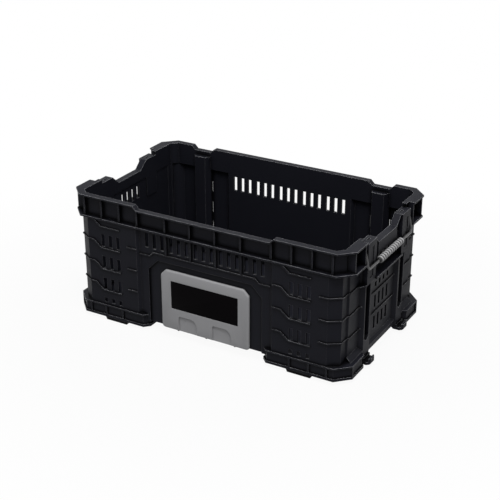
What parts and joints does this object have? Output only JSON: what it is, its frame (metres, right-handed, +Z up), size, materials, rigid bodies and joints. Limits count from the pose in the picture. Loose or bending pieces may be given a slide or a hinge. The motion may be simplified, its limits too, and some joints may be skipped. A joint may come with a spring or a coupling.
{
  "type": "stacking tool crate",
  "caption": "Open-top stacking tool crate with slotted ribbed walls, corner feet, base hooks, a clip-on front plate with a label sheet, and a wire latch bail with a ribbed grip at each end.",
  "frame": {"origin": "centre of the crate in plan, on the plane its four pads stand on", "axes": "+X along the length towards the right end, -Y out of the front with the plate, +Z up"},
  "size_m": [0.572, 0.325, 0.243],
  "materials": {
    "black_moulding": "fine moulded grain, matte black",
    "grey_moulding": "fine moulded grain, mid grey",
    "label_sheet": "smooth gloss black",
    "latch_wire": "dark coated drawn wire",
    "grip_sleeve": "light grey moulding"
  },
  "bodies": {
    "crate": {"crate_tub": "black_moulding", "front_plate": "grey_moulding", "label_insert": "label_sheet"},
    "left_bail": {"bail_wire_left": "latch_wire", "bail_grip_left": "grip_sleeve"},
    "right_bail": {"bail_wire_right": "latch_wire", "bail_grip_right": "grip_sleeve"}
  },
  "joints": [
    {"name": "right_bail_swing", "type": "hinge", "parent": "crate", "child": "right_bail", "pos_m": [0.2715, 0, 0.2255], "axis": [0, -1, 0], "range_deg": [0, 170]},
    {"name": "left_bail_swing", "type": "hinge", "parent": "crate", "child": "left_bail", "pos_m": [-0.2715, 0, 0.2255], "axis": [0, 1, 0], "range_deg": [0, 170]}
  ]
}
